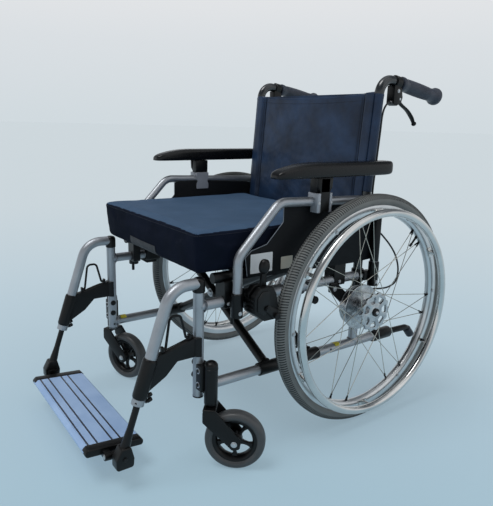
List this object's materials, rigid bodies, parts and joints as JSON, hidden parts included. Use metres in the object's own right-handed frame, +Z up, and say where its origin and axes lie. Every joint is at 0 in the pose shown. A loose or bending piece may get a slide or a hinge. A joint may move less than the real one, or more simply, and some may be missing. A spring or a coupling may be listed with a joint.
{
  "type": "folding wheelchair",
  "caption": "Folding wheelchair with cross braces, drum-braked rear wheels with hand rims, swivel casters, lift-out armrests, swing-away legrests and a flip-up footplate.",
  "frame": {"origin": "on the floor, in the chair's middle plane, halfway between the footplate's front and the rear tyres", "axes": "+Z up, -Y the way the chair faces, +X the sitter's left"},
  "size_m": [0.7431, 1.0323, 0.9063],
  "materials": {
    "satin_silver_tube": "satin silver aluminium tube",
    "polished_aluminium": "polished",
    "zinc_plated_steel": "plated",
    "dark_grey_tube": "dark grey, semi-matt",
    "black_coated_tube": "black powder coat",
    "blue_grey_anodised": "blue-grey anodised",
    "black_moulded_plastic": "fine moulded grain",
    "black_rubber": "matt",
    "black_cable_cover": "smooth",
    "grey_tyre_rubber": "matt grey, ribbed tread",
    "black_nylon": "woven, slight sheen"
  },
  "bodies": {
    "left_frame": {"left_side_frame": "satin_silver_tube", "left_back_post": "dark_grey_tube", "left_push_grip": "black_rubber", "left_brake_lever_clamp": "black_moulded_plastic", "left_brake_cable": "black_cable_cover", "left_caster_housing": "black_moulded_plastic", "left_brake_plate": "dark_grey_tube", "left_wheel_axle": "zinc_plated_steel", "left_parking_brake_body": "black_moulded_plastic", "left_tipping_lever": "black_moulded_plastic", "seat_sling": "black_nylon", "seat_cushion": "black_nylon", "back_upholstery": "black_nylon"},
    "right_frame": {"right_side_frame": "satin_silver_tube", "right_back_post": "dark_grey_tube", "right_push_grip": "black_rubber", "right_brake_lever_clamp": "black_moulded_plastic", "right_brake_cable": "black_cable_cover", "right_caster_housing": "black_moulded_plastic", "right_brake_plate": "dark_grey_tube", "right_wheel_axle": "zinc_plated_steel", "right_parking_brake_body": "black_moulded_plastic", "right_tipping_lever": "black_moulded_plastic"},
    "brace_a": {"cross_brace_a": "black_coated_tube"},
    "brace_b": {"cross_brace_b": "black_coated_tube"},
    "left_wheel": {"left_wheel_tyre": "grey_tyre_rubber", "left_wheel_rim": "polished_aluminium", "left_wheel_hub": "polished_aluminium", "left_hand_rim": "polished_aluminium"},
    "left_button": {"left_quick_release_button": "zinc_plated_steel"},
    "left_fork": {"left_caster_fork": "black_moulded_plastic"},
    "left_caster": {"left_caster_rim": "black_moulded_plastic", "left_caster_tyre": "grey_tyre_rubber"},
    "left_hand_brake": {"left_attendant_brake_lever": "black_moulded_plastic"},
    "left_wheel_lock": {"left_parking_brake_lever": "black_moulded_plastic"},
    "left_armrest": {"left_armrest_tube": "satin_silver_tube", "left_side_panel": "black_nylon"},
    "left_pad": {"left_armrest_post": "black_moulded_plastic", "left_arm_pad": "black_moulded_plastic"},
    "left_legrest": {"left_legrest_hanger": "satin_silver_tube"},
    "left_release": {"left_release_loop": "black_moulded_plastic"},
    "left_stem": {"left_footrest_stem": "black_moulded_plastic"},
    "right_wheel": {"right_wheel_tyre": "grey_tyre_rubber", "right_wheel_rim": "polished_aluminium", "right_wheel_hub": "polished_aluminium", "right_hand_rim": "polished_aluminium"},
    "right_button": {"right_quick_release_button": "zinc_plated_steel"},
    "right_fork": {"right_caster_fork": "black_moulded_plastic"},
    "right_caster": {"right_caster_rim": "black_moulded_plastic", "right_caster_tyre": "grey_tyre_rubber"},
    "right_hand_brake": {"right_attendant_brake_lever": "black_moulded_plastic"},
    "right_wheel_lock": {"right_parking_brake_lever": "black_moulded_plastic"},
    "right_armrest": {"right_armrest_tube": "satin_silver_tube", "right_side_panel": "black_nylon"},
    "right_pad": {"right_armrest_post": "black_moulded_plastic", "right_arm_pad": "black_moulded_plastic"},
    "right_legrest": {"right_legrest_hanger": "satin_silver_tube"},
    "right_release": {"right_release_loop": "black_moulded_plastic"},
    "right_stem": {"right_footrest_stem": "black_moulded_plastic"},
    "footboard": {"footplate": "blue_grey_anodised"}
  },
  "joints": [
    {"name": "fold", "type": "hinge", "parent": "left_frame", "child": "brace_a", "pos_m": [0.25, 0, 0.182], "axis": [0, 1, 0], "range_deg": [0, 45], "deforming": ["seat_sling", "seat_cushion", "back_upholstery"]},
    {"name": "brace_crossing", "type": "hinge", "parent": "brace_a", "child": "brace_b", "pos_m": [0, 0, 0.31006], "axis": [0, 1, 0], "range_deg": [-90, 0]},
    {"name": "right_frame_upright", "type": "hinge", "parent": "brace_b", "child": "right_frame", "pos_m": [-0.25, 0, 0.182], "axis": [0, 1, 0], "range_deg": [0, 45]},
    {"name": "left_wheel_spin", "type": "hinge", "parent": "left_frame", "child": "left_wheel", "pos_m": [0.318, 0.211, 0.305], "axis": [1, 0, 0], "continuous": true},
    {"name": "left_button_press", "type": "slide", "parent": "left_frame", "child": "left_button", "axis": [-1, 0, 0], "range_m": [0, 0.004], "stiffness_N_per_m": 150},
    {"name": "left_caster_swivel", "type": "hinge", "parent": "left_frame", "child": "left_fork", "pos_m": [0.2845, -0.25, 0.07], "axis": [0, 0, 1], "continuous": true},
    {"name": "left_caster_spin", "type": "hinge", "parent": "left_fork", "child": "left_caster", "pos_m": [0.32222, -0.2066, 0.07], "axis": [0.7547, -0.6561, 0], "continuous": true},
    {"name": "left_hand_brake_pull", "type": "hinge", "parent": "left_frame", "child": "left_hand_brake", "pos_m": [0.25, 0.342, 0.846], "axis": [1, 0, 0], "range_deg": [0, 25], "stiffness_Nm_per_rad": 0.4},
    {"name": "left_wheel_lock_push", "type": "hinge", "parent": "left_frame", "child": "left_wheel_lock", "pos_m": [0.3005, -0.127, 0.402], "axis": [1, 0, 0], "range_deg": [0, 40]},
    {"name": "left_armrest_lift", "type": "slide", "parent": "left_frame", "child": "left_armrest", "axis": [0, 0, 1], "range_m": [0, 0.075]},
    {"name": "left_pad_height", "type": "slide", "parent": "left_armrest", "child": "left_pad", "axis": [0, 0, 1], "range_m": [0, 0.05]},
    {"name": "left_legrest_swing", "type": "hinge", "parent": "left_frame", "child": "left_legrest", "pos_m": [0.25, -0.263, 0.411], "axis": [0, 0, 1], "range_deg": [0, 90]},
    {"name": "left_release_tip", "type": "hinge", "parent": "left_legrest", "child": "left_release", "pos_m": [0.25, -0.345, 0.2975], "axis": [0, 0.9678, 0.2516], "range_deg": [0, 20], "stiffness_Nm_per_rad": 0.2},
    {"name": "left_stem_slide", "type": "slide", "parent": "left_legrest", "child": "left_stem", "axis": [0, 0.3162, 0.9487], "range_m": [0, 0.06]},
    {"name": "right_wheel_spin", "type": "hinge", "parent": "right_frame", "child": "right_wheel", "pos_m": [-0.318, 0.211, 0.305], "axis": [1, 0, 0], "continuous": true},
    {"name": "right_button_press", "type": "slide", "parent": "right_frame", "child": "right_button", "axis": [1, 0, 0], "range_m": [0, 0.004], "stiffness_N_per_m": 150},
    {"name": "right_caster_swivel", "type": "hinge", "parent": "right_frame", "child": "right_fork", "pos_m": [-0.2845, -0.25, 0.07], "axis": [0, 0, 1], "continuous": true},
    {"name": "right_caster_spin", "type": "hinge", "parent": "right_fork", "child": "right_caster", "pos_m": [-0.23157, -0.22753, 0.07], "axis": [0.3907, -0.9205, 0], "continuous": true},
    {"name": "right_hand_brake_pull", "type": "hinge", "parent": "right_frame", "child": "right_hand_brake", "pos_m": [-0.25, 0.342, 0.846], "axis": [1, 0, 0], "range_deg": [0, 25], "stiffness_Nm_per_rad": 0.4},
    {"name": "right_wheel_lock_push", "type": "hinge", "parent": "right_frame", "child": "right_wheel_lock", "pos_m": [-0.3005, -0.127, 0.402], "axis": [1, 0, 0], "range_deg": [0, 40]},
    {"name": "right_armrest_lift", "type": "slide", "parent": "right_frame", "child": "right_armrest", "axis": [0, 0, 1], "range_m": [0, 0.075]},
    {"name": "right_pad_height", "type": "slide", "parent": "right_armrest", "child": "right_pad", "axis": [0, 0, 1], "range_m": [0, 0.05]},
    {"name": "right_legrest_swing", "type": "hinge", "parent": "right_frame", "child": "right_legrest", "pos_m": [-0.25, -0.263, 0.411], "axis": [0, 0, -1], "range_deg": [0, 90]},
    {"name": "right_release_tip", "type": "hinge", "parent": "right_legrest", "child": "right_release", "pos_m": [-0.25, -0.345, 0.2975], "axis": [0, -0.9678, -0.2516], "range_deg": [0, 20], "stiffness_Nm_per_rad": 0.2},
    {"name": "right_stem_slide", "type": "slide", "parent": "right_legrest", "child": "right_stem", "axis": [0, 0.3162, 0.9487], "range_m": [0, 0.06]},
    {"name": "footplate_flip", "type": "hinge", "parent": "left_stem", "child": "footboard", "pos_m": [0.222, -0.44994, 0.06402], "axis": [0, 0.9962, -0.0872], "range_deg": [0, 90]}
  ],
  "couplings": [
    {"joint": "brace_crossing", "follows": "fold", "ratio": -2},
    {"joint": "right_frame_upright", "follows": "fold", "ratio": 1},
    {"joint": "footplate_flip", "follows": "fold", "ratio": 2},
    {"joint": "right_stem_slide", "follows": "left_stem_slide", "ratio": 1}
  ]
}
